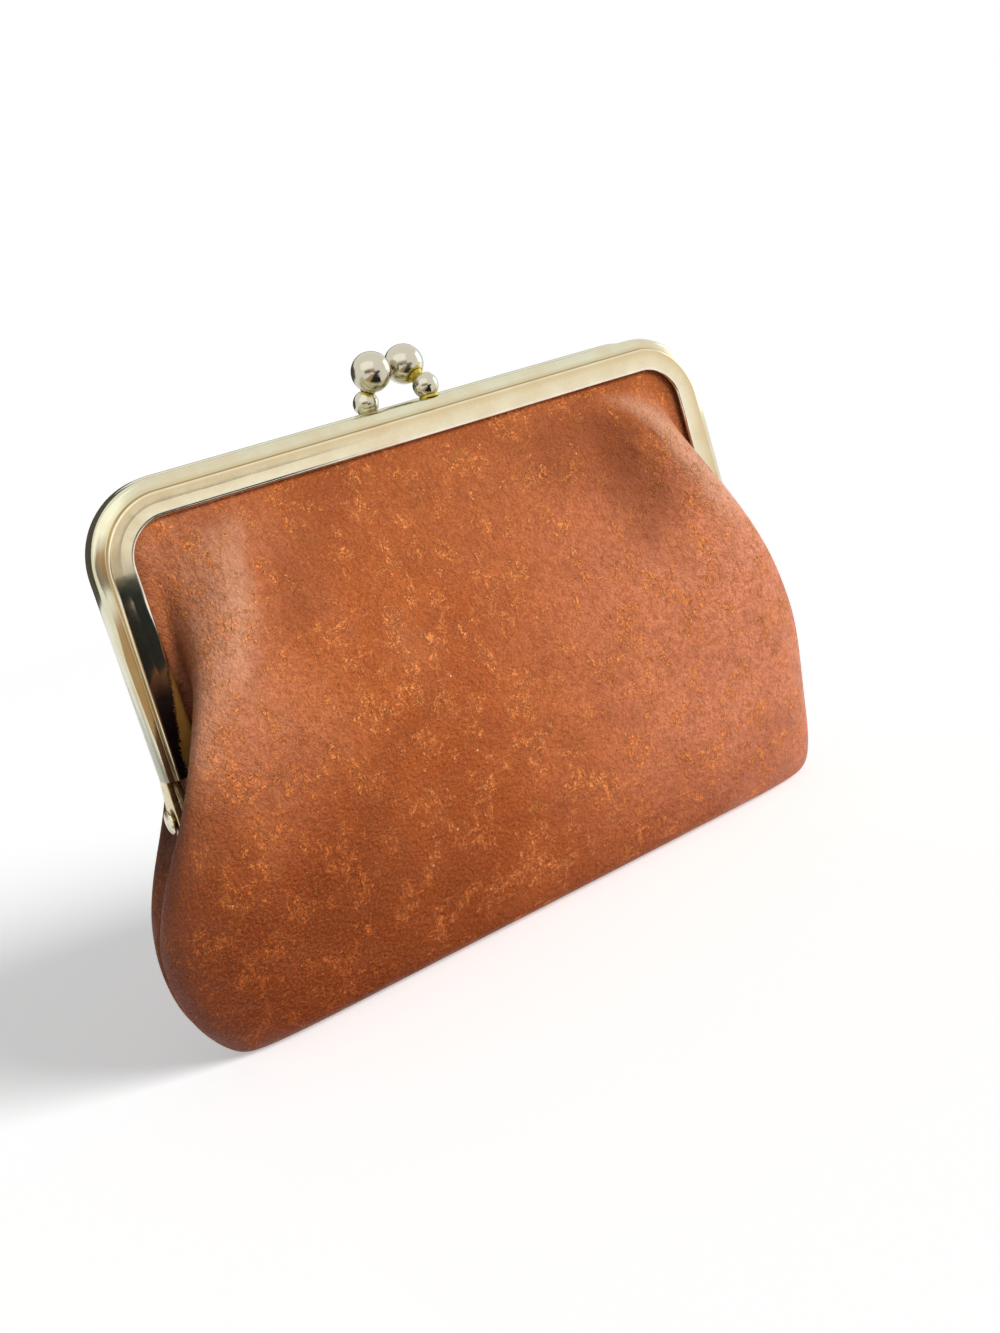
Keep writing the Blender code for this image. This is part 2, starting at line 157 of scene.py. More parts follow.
def plated_strip():
    """Nickel-brass plate on rolled steel, lacquered and long handled.

    The rolls leave it smooth and long-grained. The bead is a cool cream, a brown band in the groove and the
    tan on the flat below its ridge are a painted warm reflection, the flat low on the legs carries a painted
    dark slate reflection, and the lip by the hinges is rubbed to its brass undercoat.
    """
    material, tree, shader = new_material("rolled_plated_strip")
    along, across, inward = (add_node(tree, "ShaderNodeAttribute", attribute_name=name, output="Fac")
                             for name in ("along", "across", "inward"))
    place = add_node(tree, "ShaderNodeTexCoord", output="Object")
    height = add_node(tree, "ShaderNodeSeparateXYZ", (place,), output="Z")
    along_mm = add_node(tree, "ShaderNodeMath", (along, mm), operation="DIVIDE")
    across_mm = add_node(tree, "ShaderNodeMath", (across, mm), operation="DIVIDE")
    inward_share = add_node(tree, "ShaderNodeMath", (inward, band_width), operation="DIVIDE")
    strip = add_node(tree, "ShaderNodeCombineXYZ", (along_mm, across_mm))
    clouds = add_node(tree, "ShaderNodeTexNoise", {
        "Vector": strip, "Scale": 1 / 5, "Detail": 4, "Roughness": 0.6})
    grain_place = add_node(tree, "ShaderNodeMapping", {"Vector": strip, "Scale": (0.12, 5, 1)})
    grain = add_node(tree, "ShaderNodeTexNoise", {
        "Vector": grain_place, "Scale": 1, "Detail": 3, "Roughness": 0.7})
    specks = add_node(tree, "ShaderNodeTexNoise", {
        "Vector": strip, "Scale": 3, "Detail": 2, "Roughness": 0.8})

    # Across the section: cool cream bead, then a brown band in the groove and tan on the flat below the
    # ridge as a painted warm reflection, then cream to a pale lip.
    plate = add_node(tree, "ShaderNodeValToRGB", (inward_share,), (
        (0.00, "#DAD9BE"), (0.20, "#DFDCC0"), (0.30, "#D2C9A4"), (0.355, "#B49C72"), (0.375, "#F2E9CF"),
        (0.44, "#DCC79E"), (0.66, "#EADDBA"), (0.90, "#EFE5C8"), (0.97, "#F8F4E6")))
    tan = add_node(tree, "ShaderNodeValToRGB", (clouds,), ((0.35, black), (0.70, white)))
    spots = add_node(tree, "ShaderNodeValToRGB", (specks,), ((0.66, black), (0.74, white)))
    low = add_node(tree, "ShaderNodeMapRange", (height, 56 * mm, 40 * mm))
    # Painted dark slate reflection on the flat face, low on the legs.
    on_flat = add_node(tree, "ShaderNodeValToRGB", (inward_share,), ((0.40, black), (0.44, white)))
    lowest = add_node(tree, "ShaderNodeValToRGB", (low,), ((0.36, black), (0.56, white)))
    painted_slate_reflection = add_node(tree, "ShaderNodeMath", (on_flat, lowest), operation="MULTIPLY")
    edge_start = add_node(tree, "ShaderNodeMath", (low, -0.46, 0.99), operation="MULTIPLY_ADD")
    by_lip = add_node(tree, "ShaderNodeMath", (inward_share, edge_start), operation="SUBTRACT")
    ragged = add_node(tree, "ShaderNodeMath", (specks, 1.3, -0.65), operation="MULTIPLY_ADD")
    rubbed = add_node(tree, "ShaderNodeMath", (by_lip, 5.0, ragged), operation="MULTIPLY_ADD")
    rubbed = add_node(tree, "ShaderNodeMath", (rubbed, low), operation="MULTIPLY")
    brass = add_node(tree, "ShaderNodeValToRGB", (rubbed,), ((0.12, black), (0.30, white)))
    grime = add_node(tree, "ShaderNodeValToRGB", (rubbed,), ((0.10, black), (0.16, white), (0.22, black)))
    # Coats: random tan clouds, specks, the painted slate reflection, the rubbed brass, and dirt at its edge.
    shade = painted(tree, plate, (tan, 0.45, "#D3B88C"), (spots, 0.3, "#7C6A4A"), (painted_slate_reflection, 0.95, "#566F88"),
                    (brass, 1, "#EBC673"), (grime, 0.8, "#3B2F1F"))
    polish = add_node(tree, "ShaderNodeMapRange", (clouds, 0.3, 0.7, 0.10, 0.20))
    rough = add_node(tree, "ShaderNodeMath", (brass, 0.4, polish), operation="MULTIPLY_ADD")
    bump = add_node(tree, "ShaderNodeBump", {"Height": grain, "Strength": 0.10, "Distance": 0.03 * mm})
    feed(tree, shader, {"Base Color": shade, "Metallic": 1.0, "Roughness": rough, "Normal": bump})
    return material


def arc(centre, radius, start, end, steps):
    """Points on an arc, both ends included. Angles are in quarter turns."""
    points = []
    for step in range(steps + 1):
        angle = (start + (end - start) * step / steps) * math.pi / 2
        points.append((centre[0] + radius * math.cos(angle), centre[1] + radius * math.sin(angle)))
    return points


def narrowing(side):
    """How much nearer the middle a half's legs stand. The back half is the narrower one."""
    return back_narrowing if side > 0 else 0


def u_path(side, inset, foot):
    """(x, z) points of the U between its feet, inset from the half's outer edge."""
    centre = frame_half_width - corner_radius - narrowing(side)
    radius = corner_radius - inset
    top = frame_top - corner_radius
    path = [(-centre - radius, foot)]
    path += arc((-centre, top), radius, 2, 1, corner_steps)
    path += arc((centre, top), radius, 1, 0, corner_steps)
    return path + [(centre + radius, foot)]


# The rolled section as (inward from the crest, forward from the closing plane, fold radius) corners, mm.
section_corners = (
    (4.20, 0.15, 0.00),
    (0.00, 0.15, 0.85),
    (0.00, 3.62, 0.75),
    (1.58, 4.02, 0.20),
    (1.84, 4.80, 0.26),
    (3.20, 4.74, 1.50),
    (4.40, 4.84, 0.40),
    (4.85, 4.80, 0.26),
    (4.82, 4.05, 0.00),
)


def poly_curve(name, points, radii=None, dimensions="3D"):
    """A curve object of one open spline."""
    curve = bpy.data.curves.new(name, "CURVE")
    curve.dimensions = dimensions
    spline = curve.splines.new("POLY")
    spline.points.add(len(points) - 1)
    for index, (target, point) in enumerate(zip(spline.points, points)):
        target.co = (*point, 1)
        target.radius = radii[index] if radii else 1
    return placed(name, curve)


def growing_tree(name, sizes):
    """A Geometry Nodes tree with a path, its sizes and a finish as inputs. Gives the tree and the inputs."""
    tree = bpy.data.node_groups.new(name, "GeometryNodeTree")
    for label, kind in {"Path": "Geometry", **sizes, "Finish": "Material"}.items():
        tree.interface.new_socket(label, in_out="INPUT", socket_type=f"NodeSocket{kind}")
    tree.interface.new_socket("Piece", in_out="OUTPUT", socket_type="NodeSocketGeometry")
    return tree, add_node(tree, "NodeGroupInput", output=None)


def grown(tree, mesh, finish):
    """End a tree with real geometry in its finish."""
    mesh = add_node(tree, "GeometryNodeRealizeInstances", {"Geometry": mesh})
    mesh = add_node(tree, "GeometryNodeSetMaterial", {"Geometry": mesh, "Material": finish})
    add_node(tree, "NodeGroupOutput", (mesh,), output=None)
    return tree


def channel_tree():
    """Fillet the section's folds, sweep it along the U, and note where each point lies on the strip."""
    tree, given = growing_tree("rolled_channel", {"Section": "Object", "Fold Steps": "Int"})
    length = add_node(tree, "GeometryNodeSplineParameter", output="Length")
    section = add_node(tree, "GeometryNodeObjectInfo", {"Object": given["Section"]}, output="Geometry")
    fold = add_node(tree, "GeometryNodeInputRadius")
    section = add_node(tree, "GeometryNodeFilletCurve", {
        "Curve": section, "Count": given["Fold Steps"], "Radius": fold, "Limit Radius": True}, mode="POLY")
    section = add_node(tree, "GeometryNodeStoreNamedAttribute", {
        "Geometry": section, "Name": "across", "Value": length})
    position = add_node(tree, "GeometryNodeInputPosition")
    sideways = add_node(tree, "ShaderNodeSeparateXYZ", (position,), output="Y")
    inward = add_node(tree, "ShaderNodeMath", (sideways, -1.0), operation="MULTIPLY")
    section = add_node(tree, "GeometryNodeStoreNamedAttribute", {
        "Geometry": section, "Name": "inward", "Value": inward})
    path = add_node(tree, "GeometryNodeStoreNamedAttribute", {
        "Geometry": given["Path"], "Name": "along", "Value": length})
    path = add_node(tree, "GeometryNodeSetCurveNormal", {"Curve": path, "Normal": (0, 1, 0)}, mode="FREE")
    mesh = add_node(tree, "GeometryNodeCurveToMesh", {"Curve": path, "Profile Curve": section})
    return grown(tree, add_node(tree, "GeometryNodeSetShadeSmooth", {"Geometry": mesh}), given["Finish"])


def grow(name, base, tree, values):
    """Run a Geometry Nodes tree on an object, keep the mesh that it makes, and remove the object."""
    grower = base.modifiers.new(tree.name, "NODES")
    grower.node_group = tree
    for item in tree.interface.items_tree:
        if item.in_out == "INPUT" and item.name in values:
            grower[item.identifier] = values[item.name]
    base.update_tag()
    return as_mesh(name, base)


def as_mesh(name, source):
    """Keep the evaluated mesh of an object as a new plain object, and remove the first."""
    bpy.context.view_layer.update()
    graph = bpy.context.evaluated_depsgraph_get()
    mesh = bpy.data.meshes.new_from_object(source.evaluated_get(graph), depsgraph=graph)
    mesh.transform(source.matrix_world)
    bpy.data.objects.remove(source)
    mesh.name = name
    return placed(name, mesh)


def walled(piece, thickness, offset):
    """Give a sheet its thickness. Offset -1 puts all of it behind the sheet, 0 puts half on each side."""
    wall = piece.modifiers.new("thickness", "SOLIDIFY")
    wall.thickness = thickness
    wall.offset = offset
    return wall


def smoothly(value, low, high):
    """0 below low, 1 above high, and an even S between."""
    share = min(max((value - low) / (high - low), 0), 1)
    return share * share * (3 - 2 * share)


def narrow_bead(channel):
    """Let the bead and the ridge beside it run out narrower down the legs, with a wider flat."""
    inward = channel.data.attributes["inward"].data
    for vertex, place in zip(channel.data.vertices, inward):
        down = smoothly(frame_top - corner_radius - vertex.co.z, -corner_radius / 2, corner_radius)
        hump = smoothly(place.value, 0, ridge_inset) * (1 - smoothly(place.value, ridge_inset, flat_middle))
        vertex.co.x += math.copysign(bead_narrowing * down * hump, vertex.co.x)


strip_finish = plated_strip()
rolling = channel_tree()
for title, side in sides.items():
    corners = [(side * forward * mm, -inward * mm, 0) for inward, forward, _ in section_corners]
    section = poly_curve(f"{title}_section", corners, [fold * mm for _, _, fold in section_corners])
    path = poly_curve(f"{title}_path", [(x, 0, z) for x, z in u_path(side, 0, leg_foot)])
    channel = grow(f"{title}_frame_channel", path, rolling,
                   {"Section": section, "Fold Steps": fold_steps, "Finish": strip_finish})
    bpy.data.objects.remove(section)
    narrow_bead(channel)
    walled(channel, sheet, -1)
    channel = as_mesh(channel.name, channel)
    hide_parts(f"{title}_frame")
    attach(channel, f"{title}_half")

# Hinge ears. Each leg of the frame ends in a flat lug of thicker plate, brazed inside the channel and
# rounded about the rivet. The front half's lugs lie outside the back half's.
ear = 0.9 * mm
ear_inset = 0.1 * mm
ear_radius = 2.1 * mm
ear_round = 0.15 * mm
ear_root_rise = 3 * mm
ear_root_back = 1.1 * mm
ear_root_front = 2.8 * mm


def ear_layer(side):
    """Distance of a lug's outer face from the middle of the purse."""
    return frame_half_width - narrowing(side) - ear_inset


def ear_outline(side):
    """(y, z) corners of a lug, from its root inside the channel to its round end on the hinge axis."""
    root_top = leg_foot + ear_root_rise
    tip = arc((0, hinge_height), ear_radius - ear_round, 0, -2, corner_steps)
    back = (side * (ear_root_back + ear_round), root_top)
    front = (side * (ear_root_front - ear_round), root_top)
    return [back, front, *tip[::-1]] if side < 0 else [back, *tip[::-1], front]


def lug(name, side, hand):
    """One flat lug with rounded edges, cut from its outline and stood at the leg."""
    made = poly_curve(name, [(y, z, 0) for y, z in ear_outline(side)], dimensions="2D")
    plate = made.data
    plate.splines[0].use_cyclic_u = True
    plate.fill_mode = "BOTH"
    plate.extrude = ear / 2 - ear_round
    plate.bevel_depth = ear_round
    plate.bevel_resolution = 2
    across = Matrix(((0, 0, 1, 0), (1, 0, 0, 0), (0, 1, 0, 0), (0, 0, 0, 1)))
    made.matrix_world = Matrix.Translation((hand * (ear_layer(side) - ear / 2), 0, 0)) @ across
    return tidy_mesh(as_mesh(name, made))


def tidy_mesh(piece, smooth_angle=0.6):
    """Merge a piece's doubled points, turn its faces outwards, and shade its round parts smooth."""
    shape = bmesh.new()
    shape.from_mesh(piece.data)
    bmesh.ops.remove_doubles(shape, verts=shape.verts, dist=merge_distance)
    bmesh.ops.recalc_face_normals(shape, faces=shape.faces)
    shape.to_mesh(piece.data)
    shape.free()
    piece.data.shade_smooth()
    piece.data.set_sharp_from_angle(angle=smooth_angle)
    return piece


merge_distance = 0.001 * mm


def millimetres(tree):
    """The piece's own coordinates, in millimetres."""
    place = add_node(tree, "ShaderNodeTexCoord", output="Object")
    return add_node(tree, "ShaderNodeMapping", {"Vector": place, "Scale": (1 / mm,) * 3})


def handled_metal(name, fresh, worn, wear, gloss):
    """A plated part that fingers rub: its high spots keep a polish, and its joints show the metal below."""
    material, tree, shader = new_material(name)
    place = millimetres(tree)
    joint = add_node(tree, "ShaderNodeAttribute", attribute_name="joint", output="Fac")
    cloud = add_node(tree, "ShaderNodeTexNoise", {"Vector": place, "Scale": 0.9, "Detail": 4})
    specks = add_node(tree, "ShaderNodeTexNoise", {"Vector": place, "Scale": 4, "Detail": 2})
    uneven = add_node(tree, "ShaderNodeMath", (cloud, 0.5), operation="SUBTRACT")
    edge = add_node(tree, "ShaderNodeMath", (uneven, wear, joint), operation="MULTIPLY_ADD")
    bare = add_node(tree, "ShaderNodeValToRGB", (edge,), ((0.45, black), (0.62, white)))
    spots = add_node(tree, "ShaderNodeValToRGB", (specks,), ((0.68, black), (0.75, white)))
    shade = painted(tree, fresh, (bare, 1, worn), (spots, 0.3, "#6E5F45"))
    rough = add_node(tree, "ShaderNodeMapRange", (cloud, 0.35, 0.7, gloss, gloss * 2.2))
    rough = add_node(tree, "ShaderNodeMath", (bare, 0.12, rough), operation="MULTIPLY_ADD")
    feed(tree, shader, {"Base Color": shade, "Metallic": 1.0, "Roughness": rough})
    return material


ear_finish = handled_metal("worn_brass_plate", "#D9CBA2", "#B08A3C", 1.6, 0.16)
for title, side in sides.items():
    for label, hand in (("left", -1), ("right", 1)):
        flap = lug(f"{title}_{label}_hinge_ear", side, hand)
        flap.data.materials.append(ear_finish)
        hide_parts(f"{title}_frame")
        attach(flap, f"{title}_half")

# Hinge rivets. A soft brass pin goes through both lugs of a leg, and each end is set to a low dome. The
# domes are rubbed pale, with dirt left round their rims.
rivet_radius = 0.9 * mm
rivet_head_radius = 1.6 * mm
rivet_head = 0.6 * mm
rivet_rim = 0.12 * mm
rivet_gap = 0.3 * mm
turn_steps = 48
dome_steps = 10


def meshed(name, shape):
    """Put a finished bmesh in the scene as an object."""
    mesh = bpy.data.meshes.new(name)
    shape.to_mesh(mesh)
    shape.free()
    return placed(name, mesh)


def lathe(name, profile, axis, origin, joint):
    """Turn a profile of (radius, height) points, bottom to top, about an axis through a point.

    Joint gives each profile point's share of bare metal, which the finish reads.
    """
    shape = bmesh.new()
    shares = shape.verts.layers.float.new("joint")
    rings = []
    for index, (radius, height) in enumerate(profile):
        count = turn_steps if radius > merge_distance else 1
        ring = []
        for step in range(count):
            angle = 2 * math.pi * step / count
            point = shape.verts.new((radius * math.cos(angle), radius * math.sin(angle), height))
            point[shares] = joint[index]
            ring.append(point)
        rings.append(ring)
    for lower, upper in zip(rings, rings[1:]):
        for step in range(turn_steps):
            following = (step + 1) % turn_steps
            corners = [lower[step % len(lower)], lower[following % len(lower)],
                       upper[following % len(upper)], upper[step % len(upper)]]
            shape.faces.new(list(dict.fromkeys(corners)))
    lean = Vector((0, 0, 1)).rotation_difference(Vector(axis).normalized()).to_matrix().to_4x4()
    bmesh.ops.transform(shape, matrix=Matrix.Translation(origin) @ lean, verts=shape.verts)
    return tidy_mesh(meshed(name, shape))


def rivet_profile():
    """Half of the rivet, mirrored about its middle, from one dome's pole to the other's."""
    half_pin = (ear_layer(-1) - ear_layer(1) + ear) / 2 + rivet_gap
    rim = half_pin + rivet_rim
    top = [(rivet_radius, half_pin), (rivet_head_radius, half_pin)]
    dome = arc((0, 0), 1, 0, 1, dome_steps)
    top += [(rivet_head_radius * x, rim + (rivet_head - rivet_rim) * y) for x, y in dome]
    bare = [1.0, 0.9] + [0.5 * (1 - step / dome_steps) for step in range(dome_steps + 1)]
    bottom = [(radius, -height) for radius, height in top[::-1]]
    return bottom + top, bare[::-1] + bare


rivet_finish = handled_metal("rubbed_rivet_brass", "#E2D8BE", "#8E7440", 1.2, 0.18)
for label, hand in (("left", -1), ("right", 1)):
    middle = (ear_layer(-1) + ear_layer(1) - ear) / 2
    profile, bare = rivet_profile()
    rivet = lathe(f"{label}_rivet", profile, (hand, 0, 0), (hand * middle, 0, hinge_height), bare)
    rivet.data.materials.append(rivet_finish)
    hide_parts(f"{label}_hinge_rivet")
    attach(rivet, "pouch")

# Kiss lock. A small ball stands on each half's crest and carries a large ball on a short leaning neck.
# They are turned from brass, polished and nickel plated, and the plate has gone at every joint.
ball_radius = 2.73 * mm
foot_radius = 1.76 * mm
foot_offset = 3.55 * mm
foot_depth = 2.3 * mm
foot_sink = 0.06 * mm
ball_offset = 2.9 * mm
ball_cross = 0.7 * mm
ball_rise = 3.65 * mm
neck_radius = 0.85 * mm
neck_flare = 1.15 * mm
tail_radius = 0.8 * mm
tail_length = 2.2 * mm
collar_radius = 1.35 * mm
collar_height = 0.42 * mm
ball_steps = 28
foot_worn_reach = 0.55 * mm
ball_worn_reach = 0.5 * mm


def ball_profile(radius, open_bottom, open_top):
    """A ball's outline from below to above, started and ended where a neck or collar leaves it."""
    low = -math.sqrt(radius ** 2 - open_bottom ** 2)
    high = math.sqrt(radius ** 2 - open_top ** 2)
    start = math.asin(low / radius) / (math.pi / 2)
    end = math.asin(high / radius) / (math.pi / 2)
    return arc((0, 0), radius, start, end, ball_steps)


def clasp(title, side):
    """One half's foot ball, collar, neck, tail and large ball."""
    hand = -side
    foot = Vector((hand * foot_offset, side * foot_depth, frame_top + foot_radius - foot_sink))
    ball = Vector((hand * ball_offset, -side * ball_cross, foot.z + ball_rise))
    lean = ball - foot
    reach = lean.length - ball_radius + 2 * foot_sink
    outline = [(0, -foot_radius)] + ball_profile(foot_radius, 0, neck_flare)[1:]
    neck = [(neck_radius, (outline[-1][1] + reach) / 2), (neck_flare, reach), (0, reach + foot_sink)]
    bare = [math.exp(-((reach - height) / foot_worn_reach) ** 2) for _, height in outline] + [0.9, 1, 1]
    post = lathe(f"{title}_kiss_lock_foot", outline + neck, lean, foot, bare)
    outline = [(0, -ball_radius + foot_sink)] + ball_profile(ball_radius, neck_flare, 0)
    bare = [1] + [math.exp(-((height + ball_radius) / ball_worn_reach) ** 2) for _, height in outline[1:]]
    knob = lathe(f"{title}_kiss_lock_ball", outline, lean, ball, bare)
    root = foot - Vector((0, 0, foot_radius))
    collar = [(0, 0), (tail_radius, 0), (collar_radius, foot_sink), (collar_radius, collar_height / 2),
              (collar_radius - foot_sink, collar_height), (0, collar_height + foot_sink)]
    ring = lathe(f"{title}_kiss_lock_collar", collar, (0, 0, 1), root, [1] * len(collar))
    tail = [(0, -tail_length), (tail_radius, -tail_length), (tail_radius, 0), (0, 0)]
    shank = lathe(f"{title}_kiss_lock_tail", tail, (0, 0, 1), root, [0.8] * len(tail))
    return post, ring, shank, knob


knob_finish = handled_metal("polished_nickel_over_brass", "#CCC6B2", "#B8A548", 1.1, 0.12)
for title, side in sides.items():
    *posts, knob = clasp(title, side)
    for piece in posts:
        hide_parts(f"{title}_clasp_post")
    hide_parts(f"{title}_clasp_ball")
    for piece in (*posts, knob):
        piece.data.materials.append(knob_finish)
        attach(piece, f"{title}_half")

# Hides. Front and back are each one piece of oiled, waxed cowhide, sewn inside out round the sides and the
# bottom, then turned, so that the outer seam is a rolled groove. Above the hinge the edge is tucked into
# the frame, and the full width below it swells out over the legs in two soft folds.
leather = 1.1 * mm
lining = 0.3 * mm
leather_tuck = 1.7 * mm
lining_gap = 0.4 * mm
lip_turn = 0.55 * mm
slot_gap = 0.4 * mm
slot_depth = half_depth - lip_turn - slot_gap - leather / 2
edge_inset = band_width - leather_tuck
skin_half_width = max(-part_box("front_panel")[0].x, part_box("front_panel")[1].x) - leather / 2
skin_half_depth = -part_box("front_panel")[0].y - leather / 2
swell = skin_half_depth - slot_depth
seam_play = 0.05 * mm
seam_middle = leather / 2 + seam_play
seam_allowance = 0.9 * mm
hinge_edge = ear_layer(1) - ear - rivet_gap - rivet_head - rivet_gap - leather / 2
hinge_seam_drop = 4.2 * mm
lip_out = frame_half_width - band_width
lip_height = frame_top - band_width

# Shares of the frame's and the pouch's sizes, row by row from the rail down to the sole. Outward counts the
# lip as 1 and the pouch's side as 2. Forward counts the slot as 0 and the fullest swell as 1, and below the
# hinge it counts from the closing plane. The back's left fold has its own shares, as it swells less.
slot_row_shares = (
    (1.00, 1.00, (0.79, 0.70, 0.57, 0.38)),
    (0.62, 0.35, (0.86, 0.76, 0.61, 0.41)),
    (0.34, -0.45, (0.91, 0.82, 0.66, 0.45)),
)
upper_row_shares = (
    (0.870, (0.945, 0.00), ((0.885, 0.14), (0.720, 0.46), (0.600, 0.14)),
     ((0.905, 0.16), (0.780, 0.58), (0.680, 0.06)), 0.20),
    (0.700, (0.935, 0.00), ((0.910, 0.34), (0.775, 0.82), (0.640, 0.42)),
     ((0.935, 0.38), (0.845, 0.94), (0.735, 0.32)), 0.44),
    (0.505, (0.930, 0.06), ((0.950, 0.66), (0.845, 1.02), (0.690, 0.74)),
     ((1.050, 0.70), (0.905, 1.10), (0.770, 0.60)), 0.68),
    (0.320, (0.928, 0.18), ((1.200, 0.80), (0.945, 1.06), (0.740, 0.94)),
     ((1.370, 0.78), (0.965, 1.10), (0.780, 0.82)), 0.86),
    (0.110, (0.900, 0.32), ((1.560, 0.68), (1.090, 1.06), (0.800, 1.03)),
     ((1.800, 0.60), (1.060, 1.08), (0.800, 0.98)), 0.98),
)
lower_row_shares = (
    (0.8500, (1.00, 1.66, 1.90), (1.00, 1.60, 1.92), (0.30, 0.54), ((1.24, 0.98), (0.85, 1.00)), 1.00),
    (0.6600, (1.98, 1.97, 1.95), (2.00, 1.98, 1.85), (0.20, 0.45), ((1.36, 0.84), (0.90, 0.94)), 0.96),
    (0.4400, (2.04, 2.03, 1.93), (2.00, 1.92, 1.72), (0.16, 0.41), ((1.36, 0.73), (0.92, 0.82)), 0.86),
    (0.2200, (1.97, 1.95, 1.82), (1.92, 1.84, 1.64), (0.14, 0.36), ((1.24, 0.57), (0.90, 0.65)), 0.68),
    (0.0450, (1.64, 1.58, 1.42), (1.76, 1.68, 1.48), (0.13, 0.27), ((1.00, 0.40), (0.80, 0.42)), 0.43),
    (0.0250, (1.46, 1.36, 1.24), (1.56, 1.44, 1.28), (0.12, 0.17), ((0.92, 0.20), (0.74, 0.20)), 0.20),
)
sole_row_shares = ((1.38, 1.30, 1.18, 0.90, 0.70), (1.28, 1.18, 1.04, 0.88, 0.68))
back_left_folds = {0.320: (1.000, 0.76), 0.110: (1.250, 0.64)}
back_left_outs = {0.8500: (1.00, 1.50, 1.74), 0.6600: (1.98, 1.95, 1.92)}
hinge_edge_out_share = 0.40
hinge_edge_forward_shares = (0.96, 0.46)
lining_slack_share = 0.30
cut_end_share = 0.55
cut_end_back = 0.5 * mm
skin_levels = 3
back_hide_shift = 0.31


def outward(share, side):
    """Turn an outward share to a distance from the purse's middle."""
    lip = lip_out - narrowing(side)
    return lip * share if share <= 1 else lip + (skin_half_width - lip) * (share - 1)


def tucked(edge, tuck, forward, behind):
    """The hidden end of the skin, its edge, and its root halfway to the tuck, as (x, forward, z) points."""
    root = ((edge[0] + tuck[0]) / 2, forward, (edge[2] + tuck[2]) / 2)
    return [behind, edge, root]


def in_channel(edge, side):
    """The skin's cut end, a little deeper in the channel and nearer the filler cord."""
    middle = Vector((0, edge[1], leg_foot))
    outwards = (Vector(edge) - middle).normalized()
    return tuple(Vector(edge) + outwards * leather_tuck * cut_end_share - Vector((0, cut_end_back, 0)))


def slot_row(side, turn, rise, out_shares):
    """A row inside the frame's slot: its left half, its right half and its centre, as (x, forward, z)."""
    centre = (frame_half_width - corner_radius - narrowing(side), frame_top - corner_radius)
    corner = arc(centre, corner_radius - edge_inset, turn, turn, 1)[0]
    edge = (corner[0], slot_depth, corner[1])
    height = lip_height + leather_tuck * rise
    half = [(outward(share, side), slot_depth, height) for share in out_shares]
    half = tucked(edge, half[0], slot_depth, in_channel(edge, side)) + half
    return half, half, (0, slot_depth, height)


def upper_row(side, index):
    """A row between the rail and the hinge. The lowest one's edge leaves the frame to pass the rivet."""
    share, tuck, left_points, right_points, centre = upper_row_shares[index]
    if side > 0 and share in back_left_folds:
        left_points = (back_left_folds[share], *left_points[1:])
    height = hinge_height + (lip_height - hinge_height) * share
    out = frame_half_width - narrowing(side) - edge_inset
    forward = slot_depth
    last = index == len(upper_row_shares) - 1
    if last:
        out = hinge_edge + (out - hinge_edge) * hinge_edge_out_share
        forward = slot_depth * hinge_edge_forward_shares[0]
    edge = (out, forward, height)
    behind = (out - seam_allowance / 2, forward - seam_allowance, height) if last else in_channel(edge, side)
    halves = []
    for shares in (left_points, right_points):
        points = [(outward(x, side), slot_depth + swell * y, height) for x, y in (tuck, *shares)]
        halves.append(tucked(edge, points[0], forward, behind) + points)
    return halves[0], halves[1], (0, slot_depth + swell * centre, height)


def lower_row(side, index):
    """A row below the hinge, whose edge lies in the side seam."""
    share, left_outs, right_outs, forwards, inner, centre = lower_row_shares[index]
    if side > 0:
        left_outs = back_left_outs.get(share, left_outs)
    height = hinge_height * share
    halves = []
    for outs in (left_outs, right_outs):
        shares = (*zip(outs[1:], forwards), *inner)
        points = [(outward(x, side), skin_half_depth * y, height) for x, y in shares]
        edge = (outward(outs[0], side), seam_middle, height)
        if index == 0:
            edge = (hinge_edge, slot_depth * hinge_edge_forward_shares[1], hinge_height - hinge_seam_drop)
        behind = (edge[0] - seam_allowance, edge[1] - (seam_allowance if index == 0 else 0), edge[2])
        halves.append(tucked(edge, points[0], (edge[1] + points[0][1]) / 2, behind) + points)
    return halves[0], halves[1], (0, skin_half_depth * centre, height)


def sole_rows(side):
    """The underside at the seam, and the bottom allowance that stands up inside it."""
    rows = []
    for height, inset in ((leather / 2, 0), (leather / 2 + seam_allowance, seam_allowance / 2)):
        halves = []
        for outs in sole_row_shares:
            points = [(outward(share, side) - inset, seam_middle, height) for share in outs]
            behind = (points[0][0] - seam_allowance, seam_middle, height)
            halves.append(tucked(points[0], points[1], seam_middle, behind) + points[1:])
        rows.append((halves[0], halves[1], (0, seam_middle, height)))
    return rows


def relaxed(half, share):
    """Draw the fold back towards the middle of tuck and ridge, as the loose lining does."""
    *hidden, tuck, fold, ridge, hollow = (Vector(point) for point in half)
    return [*hidden, tuck, fold.lerp((tuck + ridge) / 2, share), ridge, hollow]


def pouch_rows(side):
    """All rows of a skin, from the slot down to the sole."""
    rows = [slot_row(side, *shares) for shares in slot_row_shares]
    rows += [upper_row(side, index) for index in range(len(upper_row_shares))]
    rows += [lower_row(side, index) for index in range(len(lower_row_shares))]
    return rows + sole_rows(side)


